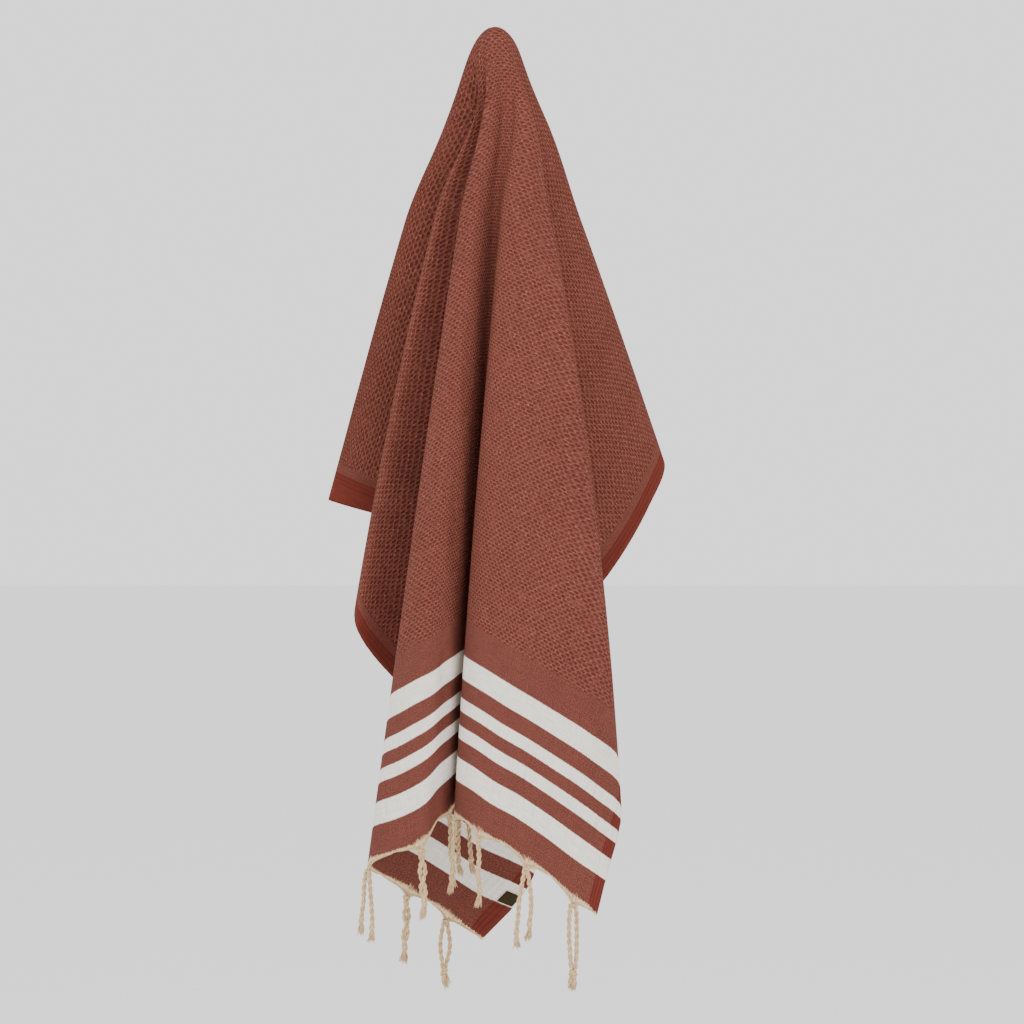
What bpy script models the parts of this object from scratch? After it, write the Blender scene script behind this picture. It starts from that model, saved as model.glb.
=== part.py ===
"""Hammam towel hanging from one point, with its knotted fringes and side label.

The cloth is laid out flat first: u runs across it to the right, v runs along it
to the front, and both start at the hang point.  A direction in the flat cloth
(its flat angle, from the front, clockwise) becomes one ray of the drape, and
FOLDS says where that ray runs as it falls.  +X is right, +Y is back, +Z is up,
and the origin is the hang point, under the top of the cloth.
"""
import functools
import math

import bmesh
import bpy
import numpy as np

# The woven piece, flat, in metres from the hang point to each edge.
REACH_RIGHT = 0.455
REACH_LEFT = 0.525
REACH_FRONT = 0.817
REACH_REAR = 0.765
THICKNESS = 0.0012
# The left edge is pulled outward a little beside the hang point.
EDGE_BOW = 0.016
EDGE_BOW_LENGTH = 0.13

# Rows of the drape: where each fold line runs, in millimetres.
# Across is positive to the right, depth is positive to the back.
LEVELS = (0.2, 0.5, 0.8)
FOLDS = (
    # name, flat angle, across at 0.2, 0.5 and 0.8 m down, depth at 0.2 and 0.8 m down
    ("front valley floor", 1, -1, -15, -33, -28, -30),
    ("front valley floor edge", 4, 2.5, -11, -28, -29, -30),
    ("valley right wall", 7.5, 5, -9, -28, -34, -62),
    ("valley right edge", 11, 6, -19, -40, -41, -98),
    ("right panel lip", 15.5, 8.5, -12, -20, -50, -138),
    ("right panel", 21, 19, 15, 20, -54, -150),
    ("right panel middle", 26, 36, 47, 62, -54, -150),
    ("right panel outer", 30, 48, 77, 103, -50, -138),
    ("right ridge", 32.6, 56, 101, 127, -40, -112),
    ("right ridge back", 35.4, 55, 98, 122, -32, -88),
    ("wing root", 42, 34, 54, 66, -13, -36),
    ("wing root back", 45, 37, 64, 82, -4, -10),
    ("wing", 50, 56, 108, 146, 4, 10),
    ("wing middle", 58, 76, 160, 226, 14, 40),
    ("wing tip", 66.5, 90, 194, 292, 27, 76),
    ("wing tip back", 71, 86, 184, 272, 38, 106),
    ("first rear valley", 86, 38, 72, 106, 24, 68),
    ("first rear valley back", 89.5, 35, 66, 96, 32, 88),
    ("first rear ridge", 108, 72, 142, 204, 60, 168),
    ("first rear ridge back", 112, 67, 136, 194, 70, 194),
    ("second rear valley", 129, 28, 54, 80, 48, 132),
    ("second rear valley back", 132.5, 23, 45, 66, 53, 148),
    ("second rear ridge", 148, 40, 76, 108, 88, 244),
    ("second rear ridge back", 152.5, 32, 58, 84, 94, 262),
    ("third rear valley", 165, 14, 32, 48, 50, 138),
    ("third rear valley back", 168.5, 8, 20, 30, 51, 142),
    ("third rear ridge", 180, 8, 22, 34, 99, 274),
    ("third rear ridge back", 184.5, -2, 0, -2, 100, 278),
    ("fourth rear valley", 197, -9, -18, -24, 54, 150),
    ("fourth rear valley back", 200.5, -16, -30, -44, 55, 152),
    ("fourth rear ridge", 213, -23, -44, -70, 94, 262),
    ("fourth rear ridge back", 217.5, -36, -67, -100, 90, 250),
    ("fifth rear valley", 231, -31, -58, -88, 58, 160),
    ("fifth rear valley back", 234.5, -38, -70, -106, 58, 162),
    ("fifth rear ridge", 249, -64, -122, -184, 85, 236),
    ("fifth rear ridge back", 253.5, -79, -150, -214, 77, 214),
    ("left panel side", 266, -95, -180, -264, 50, 140),
    ("left panel", 275, -86, -164, -243, 45, 126),
    ("left panel inward", 284, -40, -82, -130, 45, 126),
    ("left panel turn back", 291, 2, -4, -10, 43, 120),
    ("left panel turn", 294, 2, -4, -10, 35, 98),
    ("middle panel return", 301.5, -50, -102, -150, 20, 88),
    ("middle panel edge back", 304.5, -63, -128, -177, 11, 64),
    ("middle panel edge", 306, -62, -127, -173, 4, 42),
    ("middle panel", 311, -44, -92, -130, 8, 52),
    ("inner panel return", 315, -18, -40, -64, 15, 78),
    ("inner panel turn back", 319.4, 0, 21, 40, 14, 80),
    ("inner panel turn", 322.6, 3, 25, 48, 9, 62),
    ("inner panel edge", 325.4, 0, 12, 26, 5, 46),
    ("inner panel corner", 327.6, -5, -6, -13, 3, 42),
    ("inner panel middle", 330.2, -15, -30, -48, -1, 34),
    ("inner panel start", 333, -30, -60, -84, -8, 2),
    ("left ridge back", 335.2, -35, -78, -114, -17, -34),
    ("left ridge", 336.8, -36, -80, -121, -25, -64),
    ("front left panel", 339.6, -29, -68, -98, -36, -100),
    ("front left lip", 343, -21, -50, -70, -40, -112),
    ("valley left flank", 346.2, -15.5, -40, -58, -39, -106),
    ("valley left wall", 349.2, -11.5, -32, -49, -37, -95),
    ("valley left turn", 352, -8.5, -27, -43, -34, -80),
    ("valley left foot", 355.5, -5, -21, -38, -30, -56),
)

# The cloth lies over the hang point as a small dome before the folds open.
DOME_ACROSS = 0.165
DOME_DEPTH = 0.125
DOME_DROP = 0.095
# Close to the hang point the folds run together, over this many degrees and this
# far down; those round SHARP_ANGLE, at the front, do so less.
SOFT_DROP = 0.20
SOFT_WIDTH = 11.0
SHARP_DROP = 0.10
SHARP_WIDTH = 5.0
SHARP_ANGLE = -3.0
SOFT_PARTS = (-1.0, -0.5, 0.0, 0.5, 1.0)
# Under the hang point the cloth leans a little to the right.
TOP_LEAN = 0.0065
TOP_LEAN_DROP = 0.20

# The fringe: a strip of bare warp ends along each hem, and cords knotted from it.
GAP = 0.0005
STRIP_DEPTH = 0.006
CORD_SPACING = 0.0125
CORD_WIDTH = 0.006
KNOT_WIDTH = 0.0085
TUFT_WIDTH = 0.0095
# Cords of the rear hem hang a little outside the cloth that they pass.
REAR_LEAN = 0.006

# Cords along each hem, from its left end: where, how many together, how long.
FRONT_CORDS = (
    # place across the flat cloth, cords, length
    (-0.478, 2, 0.086),
    (-0.418, 2, 0.078),
    (-0.348, 2, 0.084),
    (-0.257, 2, 0.080),
    (-0.130, 1, 0.076),
    (-0.036, 1, 0.076),
    (0.075, 1, 0.076),
    (0.166, 1, 0.078),
    (0.238, 1, 0.074),
    (0.334, 2, 0.084),
    (0.420, 2, 0.092),
)
REAR_CORDS = (
    # place across the flat cloth, cords, length
    (-0.461, 2, 0.086),
    (-0.384, 2, 0.090),
    (-0.287, 2, 0.082),
    (-0.190, 2, 0.087),
    (-0.098, 1, 0.084),
    (0.004, 2, 0.091),
    (0.101, 2, 0.083),
    (0.196, 2, 0.088),
    (0.292, 2, 0.081),
    (0.368, 1, 0.085),
    (0.430, 2, 0.093),
)

# The plain side label, sewn on the left edge near the front hem.
LABEL_SIDE = 0.0125
LABEL_THICKNESS = 0.0008
LABEL_FROM_HEM = 0.038
LABEL_CLEARANCE = 0.0006

# The mesh: rings from the hang point to the edge, and the widest step between rays.
RINGS = 12
RING_POWER = 1.6
WIDEST_STEP = 2.0


def clean_scene():
    """Remove what the new file starts with."""
    for item in list(bpy.data.objects):
        bpy.data.objects.remove(item, do_unlink=True)


def material(name, colour, roughness):
    """A cloth material with one colour."""
    made = bpy.data.materials.new(name)
    made.use_nodes = True
    shader = made.node_tree.nodes["Principled BSDF"]
    shader.inputs["Base Color"].default_value = (*colour, 1.0)
    shader.inputs["Roughness"].default_value = roughness
    shader.inputs["Metallic"].default_value = 0.0
    made.diffuse_color = (*colour, 1.0)
    return made


def through_rows(values, angle):
    """One column of FOLDS at any flat angle, as a smooth closed curve."""
    angles = np.array([row[1] for row in FOLDS], float)
    count = len(angles)
    low = int(np.searchsorted(angles, angle, side="right")) - 1
    places = [low - 1, low, low + 1, low + 2]
    t0, t1, t2, t3 = (angles[k % count] + 360.0 * (k // count) for k in places)
    p0, p1, p2, p3 = (values[k % count] for k in places)
    before, span, after = t1 - t0, t2 - t1, t3 - t2
    slope_in = ((p2 - p1) / span * before + (p1 - p0) / before * span) / (before + span)
    slope_out = ((p3 - p2) / after * span + (p2 - p1) / span * after) / (span + after)
    s = (angle - t1) / span
    return ((2 * s**3 - 3 * s**2 + 1) * p1 + (s**3 - 2 * s**2 + s) * span * slope_in
            + (3 * s**2 - 2 * s**3) * p2 + (s**3 - s**2) * span * slope_out)


def fall_curve(levels, offsets, powers):
    """Factors of a curve through the given offsets, as powers of the drop."""
    matrix = np.array([[level**power for power in powers] for level in levels])
    return np.linalg.solve(matrix, np.array(offsets))


def rise(values):
    """A soft step from 0 to 1."""
    values = np.clip(values, 0.0, 1.0)
    return values * values * (3.0 - 2.0 * values)


def fold_line(angle, drop):
    """Across and depth of the folds at a flat angle, for each drop."""
    across = [through_rows([row[2 + k] / 1000 for row in FOLDS], angle) for k in range(3)]
    depth = [through_rows([row[5 + k] / 1000 for row in FOLDS], angle) for k in range(2)]
    a, b, c = fall_curve(LEVELS, across, (0.5, 1.0, 2.0))
    d, e = fall_curve((LEVELS[0], LEVELS[2]), depth, (0.5, 1.0))
    root = np.sqrt(drop)
    return np.array([a * root + b * drop + c * drop**2, d * root + e * drop])


class Ray:
    """One straight line of the flat cloth, as it falls in the drape."""

    SAMPLES = 160
    DEEPEST = 1.02

    def __init__(self, angle):
        angle = angle % 360.0
        drop = self.DEEPEST * np.linspace(0.0, 1.0, self.SAMPLES)**2
        turn = math.radians(angle)
        sharp = fold_line(angle, drop)
        front = max(0.0, math.cos(turn - math.radians(SHARP_ANGLE)))**3
        width = SOFT_WIDTH + (SHARP_WIDTH - SOFT_WIDTH) * front
        nearby = [fold_line((angle + part * width) % 360.0, drop) for part in SOFT_PARTS]
        soft = np.mean(nearby, axis=0)
        opened = rise(drop / (SOFT_DROP + (SHARP_DROP - SOFT_DROP) * front))
        folds = opened * sharp + (1 - opened) * soft
        root = np.sqrt(drop)
        dome = np.array([DOME_ACROSS * root * math.sin(turn), -DOME_DEPTH * root * math.cos(turn)])
        share = rise(drop / DOME_DROP)
        x, y = share * folds + (1 - share) * dome
        x = x + TOP_LEAN * np.sin(math.pi * np.minimum(drop / TOP_LEAN_DROP, 1.0))**2
        self.points = np.stack([x, y, -drop], axis=1)
        steps = np.linalg.norm(np.diff(self.points, axis=0), axis=1)
        self.lengths = np.concatenate([[0.0], np.cumsum(steps)])

    def at(self, reach):
        """The place of the point this far from the hang point in the flat cloth."""
        return np.array([np.interp(reach, self.lengths, self.points[:, k]) for k in range(3)])


@functools.lru_cache(maxsize=None)
def ray_of(angle):
    """The ray of a flat angle, worked out once."""
    return Ray(angle)


def flat_reach(angle):
    """How far the flat cloth reaches from the hang point at a flat angle."""
    turn = math.radians(angle)
    across, along = math.sin(turn), math.cos(turn)
    end = REACH_FRONT if along > 0 else REACH_REAR
    to_end = end / max(abs(along), 1e-9)
    to_side = (REACH_RIGHT if across > 0 else REACH_LEFT) / max(abs(across), 1e-9)
    if across < 0 and to_side < to_end:
        beside = to_side * along / EDGE_BOW_LENGTH
        to_side += EDGE_BOW * math.exp(-beside * beside)
    return min(to_end, to_side)


def flat_angle(u, v):
    """The flat angle of a point of the flat cloth."""
    return math.degrees(math.atan2(u, v)) % 360.0


def surface(angle, reach):
    """Place, outward normal and downward direction at a point of the cloth."""
    turn, step = 0.25, 0.002
    reach = max(reach, step)
    here = ray_of(angle)
    place = here.at(reach)
    down = here.at(reach + step) - here.at(reach - step)
    sideways = ray_of(angle + turn).at(reach) - ray_of(angle - turn).at(reach)
    outward = np.cross(down, sideways)
    return place, outward / np.linalg.norm(outward), down / np.linalg.norm(down)


def ray_angles():
    """Flat angles of the mesh: each fold row, points between rows, and the corners."""
    rows = [row[1] for row in FOLDS] + [FOLDS[0][1] + 360.0]
    angles = []
    for low, high in zip(rows, rows[1:]):
        parts = max(2, math.ceil((high - low) / WIDEST_STEP))
        angles += [low + (high - low) * k / parts for k in range(parts)]
    for u in (REACH_RIGHT, -REACH_LEFT):
        for v in (REACH_FRONT, -REACH_REAR):
            corner = flat_angle(u, v)
            near = min(range(len(angles)), key=lambda k: abs(angles[k] - corner))
            if abs(angles[near] - corner) < 1.0:
                angles[near] = corner
            else:
                angles.append(corner)
    return sorted(angle % 360.0 for angle in angles)


def finish(mesh_builder, name, look):
    """Turn a bmesh into a named object with its material."""
    bmesh.ops.recalc_face_normals(mesh_builder, faces=mesh_builder.faces)
    mesh = bpy.data.meshes.new(name)
    mesh_builder.to_mesh(mesh)
    mesh_builder.free()
    mesh.shade_smooth()
    mesh.set_sharp_from_angle(angle=math.radians(50))
    made = bpy.data.objects.new(name, mesh)
    bpy.context.collection.objects.link(made)
    mesh.materials.append(look)
    return made


def towel_cloth(angles):
    """The woven cloth: two faces along the rays, joined round its edge."""
    builder = bmesh.new()
    fractions = [(k / RINGS)**RING_POWER for k in range(1, RINGS + 1)]
    sides = []
    for side in (0.5, -0.5):
        top = builder.verts.new((0.0, 0.0, side * THICKNESS))
        rays = []
        for angle in angles:
            limit = flat_reach(angle)
            ray = []
            for fraction in fractions:
                place, outward, _ = surface(angle, fraction * limit)
                ray.append(builder.verts.new(place + outward * side * THICKNESS))
            rays.append(ray)
        sides.append((top, rays))
    for top, rays in sides:
        for ray, following in zip(rays, rays[1:] + rays[:1]):
            builder.faces.new((top, ray[0], following[0]))
            for k in range(RINGS - 1):
                builder.faces.new((ray[k], ray[k + 1], following[k + 1], following[k]))
    outer, inner = sides[0][1], sides[1][1]
    for k, ray in enumerate(outer):
        following = (k + 1) % len(outer)
        builder.faces.new((ray[-1], inner[k][-1], inner[following][-1], outer[following][-1]))
    bmesh.ops.triangulate(builder, faces=builder.faces)
    return finish(builder, "towel_cloth", material("rust_cotton", (0.29, 0.085, 0.060), 0.9))


def hem_line(angles, end):
    """Place, outward and down along one hem, as (u, place, outward, down) rows."""
    rows = []
    for angle in angles:
        turn = math.radians(angle)
        along = math.cos(turn)
        if along * end <= 0:
            continue
        reach = flat_reach(angle)
        if abs(abs(reach * along) - abs(end)) > 1e-6:
            continue
        rows.append((reach * math.sin(turn), *surface(angle, reach)))
    return sorted(rows, key=lambda row: row[0])


def between(rows, u):
    """A point on the straight edge between two hem points."""
    for first, second in zip(rows, rows[1:]):
        if first[0] <= u <= second[0]:
            share = (u - first[0]) / (second[0] - first[0])
            mixed = [a + (b - a) * share for a, b in zip(first[1:], second[1:])]
            return (u, *mixed)
    return rows[-1]


def fringe(name, angles, end, cords, lean, look):
    """A strip along one hem with its knotted cords, in one body."""
    rows = hem_line(angles, end)
    cut = 0.002
    first, last = rows[0][0] + cut, rows[-1][0] - cut
    roots = []
    partners = []
    lengths = []
    for place, count, length in cords:
        own = len(roots)
        if count == 1:
            roots.append(place)
            partners.append(None)
        else:
            roots += [place - CORD_SPACING / 2, place + CORD_SPACING / 2]
            partners += [own + 1, own]
        lengths += [length] * count
    roots = [beside_corners(root, rows) for root in roots]
    places = [first, last]
    for root in roots:
        places += [root - CORD_WIDTH / 2, root + CORD_WIDTH / 2]
    places += [row[0] for row in rows if first < row[0] < last]
    places.sort()
    builder = bmesh.new()
    sections = []
    for u in places:
        _, place, outward, down = between(rows, u)
        section = []
        for depth, side in ((GAP, 0.5), (GAP, -0.5), (STRIP_DEPTH, -0.5), (STRIP_DEPTH, 0.5)):
            section.append(builder.verts.new(place + down * depth + outward * side * THICKNESS))
        sections.append(section)
    builder.faces.new(sections[0])
    builder.faces.new(list(reversed(sections[-1])))
    for index, (near, far) in enumerate(zip(sections, sections[1:])):
        rooted = [k for k, root in enumerate(roots) if places[index] < root < places[index + 1]]
        for k in range(4):
            following = (k + 1) % 4
            if k == 2 and rooted:
                continue
            builder.faces.new((near[k], near[following], far[following], far[k]))
        if rooted:
            face = (near[2], near[3], far[3], far[2])
            own = rooted[0]
            partner = None if partners[own] is None else roots[partners[own]]
            cord(builder, face, hanging_point(rows, roots[own], partner, lean), lengths[own])
    bmesh.ops.triangulate(builder, faces=builder.faces)
    return finish(builder, name, look)


def beside_corners(root, rows):
    """Move a cord's root off any corner of the faceted hem."""
    room = CORD_WIDTH / 2 + 0.0005
    for corner, *_ in rows:
        if abs(root - corner) < room:
            return corner + math.copysign(room, root - corner)
    return root


def hanging_point(rows, root, partner, lean):
    """Where a cord hangs: under its root, and a cord's width from its partner."""
    _, place, outward, down = between(rows, root)
    middle = place.copy()
    if partner is not None:
        other = between(rows, partner)[1]
        apart = (place - other) * (1.0, 1.0, 0.0)
        middle = (place + other) / 2 + apart / np.linalg.norm(apart) * CORD_SPACING / 2
    middle += outward * (1.0, 1.0, 0.0) * lean
    middle[2] = place[2] + down[2] * STRIP_DEPTH
    return middle


def cord(builder, root, head, length):
    """A four-sided cord that falls from the strip to its knot and frayed tuft."""
    stations = (
        # share of the length, width
        (0.10, CORD_WIDTH),
        (0.66, CORD_WIDTH),
        (0.70, KNOT_WIDTH),
        (0.76, KNOT_WIDTH),
        (0.80, CORD_WIDTH * 0.9),
        (0.92, TUFT_WIDTH),
        (1.00, TUFT_WIDTH * 0.7),
    )
    corners = np.array([vert.co for vert in root])
    flat = corners - corners.mean(axis=0)
    order = np.arctan2(flat[:, 1], flat[:, 0])
    turning = sum(math.sin(order[(k + 1) % 4] - order[k]) for k in range(4))
    way = 1.0 if turning > 0 else -1.0
    previous = list(root)
    for share, width in stations:
        ring = []
        for k in range(4):
            turn = order[0] + way * math.pi / 2 * k
            reach = width * 0.6
            place = head + np.array([math.cos(turn) * reach, math.sin(turn) * reach, -share * length])
            ring.append(builder.verts.new(place))
        for k in range(4):
            following = (k + 1) % 4
            builder.faces.new((previous[k], previous[following], ring[following], ring[k]))
        previous = ring
    builder.faces.new(previous)


def side_label():
    """The small plain label on the left edge, on the face that looks forward."""
    builder = bmesh.new()
    grid = 3
    layers = []
    first_u = -REACH_LEFT + 0.0015
    first_v = REACH_FRONT - LABEL_FROM_HEM
    for height in (LABEL_CLEARANCE, LABEL_CLEARANCE + LABEL_THICKNESS):
        layer = []
        for row in range(grid):
            for column in range(grid):
                u = first_u + LABEL_SIDE * column / (grid - 1)
                v = first_v - LABEL_SIDE * row / (grid - 1)
                place, outward, _ = surface(flat_angle(u, v), math.hypot(u, v))
                layer.append(builder.verts.new(place - outward * (THICKNESS / 2 + height)))
        layers.append(layer)
    for layer in layers:
        for row in range(grid - 1):
            for column in range(grid - 1):
                k = row * grid + column
                builder.faces.new((layer[k], layer[k + 1], layer[k + grid + 1], layer[k + grid]))
    rim = [0, 1, 2, 5, 8, 7, 6, 3]
    for here, following in zip(rim, rim[1:] + rim[:1]):
        builder.faces.new((layers[0][here], layers[0][following], layers[1][following], layers[1][here]))
    bmesh.ops.triangulate(builder, faces=builder.faces)
    return finish(builder, "label", material("olive_tape", (0.07, 0.052, 0.026), 0.8))


clean_scene()
mesh_angles = ray_angles()
towel_cloth(mesh_angles)
cream = material("cream_cord", (0.64, 0.52, 0.38), 0.9)
fringe("fringe_front", mesh_angles, REACH_FRONT, FRONT_CORDS, 0.0, cream)
fringe("fringe_rear", mesh_angles, -REACH_REAR, REAR_CORDS, REAR_LEAN, cream)
side_label()
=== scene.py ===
"""Hammam towel hanging from one point, with its striped ends, cords and label."""

import math
import random

import bmesh
import bpy
import numpy as np
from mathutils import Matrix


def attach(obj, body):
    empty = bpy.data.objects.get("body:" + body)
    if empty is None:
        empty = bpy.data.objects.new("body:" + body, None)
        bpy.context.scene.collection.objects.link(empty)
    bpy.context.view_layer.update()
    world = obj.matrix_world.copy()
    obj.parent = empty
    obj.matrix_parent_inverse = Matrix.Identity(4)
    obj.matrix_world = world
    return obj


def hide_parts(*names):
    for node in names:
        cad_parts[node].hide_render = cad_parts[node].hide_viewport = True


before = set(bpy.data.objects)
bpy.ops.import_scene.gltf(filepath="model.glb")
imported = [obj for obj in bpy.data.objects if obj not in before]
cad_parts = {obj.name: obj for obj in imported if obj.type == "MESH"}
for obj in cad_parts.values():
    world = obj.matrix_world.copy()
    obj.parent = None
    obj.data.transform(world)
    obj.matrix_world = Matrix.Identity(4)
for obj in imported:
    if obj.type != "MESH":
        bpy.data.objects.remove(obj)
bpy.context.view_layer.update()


# ---------------------------------------------------------------- towel cloth
# One piece of cotton woven in rust and undyed yarn: a honeycomb field, a plain band
# with four white stripes at each end, and two plain red selvedges. It hangs from one
# point of its field, and every fold runs down from there, so its mesh is a fan of rays.

# Flat places are (u, v) in metres from the hang point: u to the right, v to the front.
REACH_RIGHT = 0.455
REACH_LEFT = 0.525
REACH_FRONT = 0.817
REACH_REAR = 0.765
CLOTH_THICKNESS = 0.0012
# The left edge bows out beside the hang point, by so much and over so far each way.
EDGE_BOW = 0.016
EDGE_BOW_LENGTH = 0.13

FOLD_DROPS = (0.2, 0.5, 0.8)
FOLDS = (
    # flat angle in degrees from the front round to the right, then in millimetres
    # across at 0.2, 0.5 and 0.8 m down, and depth at 0.2 and 0.8 m down
    (1, -1, -15, -33, -28, -30),       # front valley floor
    (4, 2.5, -11, -28, -29, -30),
    (7.5, 5, -9, -28, -34, -62),
    (11, 6, -19, -40, -41, -98),
    (15.5, 8.5, -12, -20, -50, -138),  # right panel lip
    (21, 19, 15, 20, -54, -150),
    (26, 36, 47, 62, -54, -150),
    (30, 48, 77, 103, -50, -138),
    (32.6, 56, 101, 127, -40, -112),   # right ridge
    (35.4, 55, 98, 122, -32, -88),
    (42, 34, 54, 66, -13, -36),        # wing root
    (45, 37, 64, 82, -4, -10),
    (50, 56, 108, 146, 4, 10),
    (58, 76, 160, 226, 14, 40),
    (66.5, 90, 194, 292, 27, 76),      # wing tip
    (71, 86, 184, 272, 38, 106),
    (86, 38, 72, 106, 24, 68),         # first rear valley
    (89.5, 35, 66, 96, 32, 88),
    (108, 72, 142, 204, 60, 168),      # first rear ridge
    (112, 67, 136, 194, 70, 194),
    (129, 28, 54, 80, 48, 132),        # second rear valley
    (132.5, 23, 45, 66, 53, 148),
    (148, 40, 76, 108, 88, 244),       # second rear ridge
    (152.5, 32, 58, 84, 94, 262),
    (165, 14, 32, 48, 50, 138),        # third rear valley
    (168.5, 8, 20, 30, 51, 142),
    (180, 8, 22, 34, 99, 274),         # third rear ridge
    (184.5, -2, 0, -2, 100, 278),
    (197, -9, -18, -24, 54, 150),      # fourth rear valley
    (200.5, -16, -30, -44, 55, 152),
    (213, -23, -44, -70, 94, 262),     # fourth rear ridge
    (217.5, -36, -67, -100, 90, 250),
    (231, -31, -58, -88, 58, 160),     # fifth rear valley
    (234.5, -38, -70, -106, 58, 162),
    (249, -64, -122, -184, 85, 236),   # fifth rear ridge
    (253.5, -79, -150, -214, 77, 214),
    (266, -95, -180, -264, 50, 140),   # left panel side
    (275, -86, -164, -243, 45, 126),
    (284, -40, -82, -130, 45, 126),
    (291, 2, -4, -10, 43, 120),        # left panel turn back
    (294, 2, -4, -10, 35, 98),
    (301.5, -50, -102, -150, 20, 88),  # middle panel return
    (304.5, -63, -128, -177, 11, 64),
    (306, -62, -127, -173, 4, 42),     # middle panel edge
    (311, -44, -92, -130, 8, 52),
    (315, -18, -40, -64, 15, 78),      # inner panel return
    (319.4, 0, 21, 40, 14, 80),
    (322.6, 3, 25, 48, 9, 62),
    (325.4, 0, 12, 26, 5, 46),         # inner panel edge
    (327.6, -5, -6, -13, 3, 42),
    (330.2, -15, -30, -48, -1, 34),
    (333, -30, -60, -84, -8, 2),       # inner panel start
    (335.2, -35, -78, -114, -17, -34),
    (336.8, -36, -80, -121, -25, -64), # left ridge
    (339.6, -29, -68, -98, -36, -100),
    (343, -21, -50, -70, -40, -112),   # front left lip
    (346.2, -15.5, -40, -58, -39, -106),  # valley left flank
    (349.2, -11.5, -32, -49, -37, -95),
    (352, -8.5, -27, -43, -34, -80),
    (355.5, -5, -21, -38, -30, -56),
)
# The cloth lies over the hang point as a small dome, and close to it the folds run
# together over so many degrees and so far down; those round SHARP_ANGLE do so less.
DOME_ACROSS = 0.165
DOME_DEPTH = 0.125
DOME_DROP = 0.095
SOFT_DROP = 0.20
SOFT_WIDTH = 11.0
SHARP_DROP = 0.10
SHARP_WIDTH = 5.0
SHARP_ANGLE = -3.0
SHARP_POWER = 3
SOFT_PARTS = (-1.0, -0.5, 0.0, 0.5, 1.0)
# Under the hang point the cloth leans a little to the right.
TOP_LEAN = 0.0065
TOP_LEAN_DROP = 0.20
RAY_SAMPLES = 160
DEEPEST_DROP = 1.02

# Cords of each end, from the left: place across, the length of each cord, how far apart
# two of them hang halfway down and at the end, and how far they sway sideways.
FRONT_CORDS = (
    (-0.478, (0.068, 0.072), 0.0095, 0.003, -0.001),
    (-0.418, (0.068, 0.070), 0.0046, 0.003, -0.002),
    (-0.348, (0.067, 0.073), 0.0105, 0.014, -0.001),
    (-0.257, (0.068, 0.070), 0.0050, 0.004, 0.003),
    (-0.130, (0.070,), 0.0, 0.0, 0.003),
    (-0.036, (0.070,), 0.0, 0.0, -0.001),
    (0.075, (0.066,), 0.0, 0.0, 0.004),
    (0.166, (0.073,), 0.0, 0.0, -0.003),
    (0.238, (0.068,), 0.0, 0.0, 0.001),
    (0.334, (0.080, 0.072), 0.0110, 0.014, -0.003),
    (0.420, (0.084, 0.086), 0.0085, 0.002, 0.000),
)
REAR_CORDS = (
    (-0.461, (0.086, 0.082), 0.0100, 0.008, 0.002),
    (-0.384, (0.090, 0.084), 0.0090, 0.004, -0.002),
    (-0.287, (0.082, 0.080), 0.0100, 0.010, 0.003),
    (-0.190, (0.087, 0.081), 0.0080, 0.009, 0.000),
    (-0.098, (0.084,), 0.0, 0.0, 0.002),
    (0.004, (0.091, 0.086), 0.0090, 0.006, -0.002),
    (0.101, (0.083, 0.080), 0.0100, 0.009, 0.002),
    (0.196, (0.088, 0.083), 0.0090, 0.003, 0.000),
    (0.292, (0.081, 0.079), 0.0100, 0.010, -0.003),
    (0.368, (0.085,), 0.0, 0.0, 0.002),
    (0.430, (0.093, 0.088), 0.0090, 0.006, 0.000),
)
# Each knot draws the hem down to it, and the hem rises in an arc between knots, to its
# full height where they are at least HEM_ARC_FULL apart.
HEM_DRAWN_DOWN = 0.003
HEM_ARC_RISE = 0.007
HEM_ARC_FULL = 0.09
HEM_ARC_POWER = 0.6
HEM_REACH_IN = 0.05
# Undyed warp ends show above the hem, so far up between the knots and at them.
FRAY_BETWEEN = 0.0026
FRAY_AT_KNOTS = 0.0085
FRAY_SPREAD = 0.014
NO_FRAY = 9.0
# Soft waves of the front end reach so far up, and hang a little lower than the rest.
WAVES_REACH = 0.24
FRONT_WAVES = (
    # middle across, half width, how much lower
    (-0.275, 0.055, 0.0070),
    (0.255, 0.032, 0.0022),
    (0.425, 0.042, 0.0040),
)
# Ripples in the cloth's depth, which are at their full size so far from the hang point.
RIPPLE_DEPTH = 0.0011
RIPPLE_FULL_AT = 0.5
RIPPLE_WAVES = (
    # radians per metre across and along, start in radians, share
    (62, 9, 0.7, 1.0),
    (97, -14, 2.1, 0.8),
    (31, 38, 4.0, 0.5),
)

CLOTH_RAYS = 416
CLOTH_RINGS = 118
RING_POWER = 0.92
# The mesh's rays are shared out in fine steps of so many degrees, by their turn in the
# flat cloth, the length of edge that they take, and the bends of that edge.
FINE_STEP = 0.05
BEND_STEPS = 20
TURN_WEIGHT = 0.30
EDGE_WEIGHT = 3.2
BEND_WEIGHT = 0.55
SHARPEST_BEND = 0.2


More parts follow.
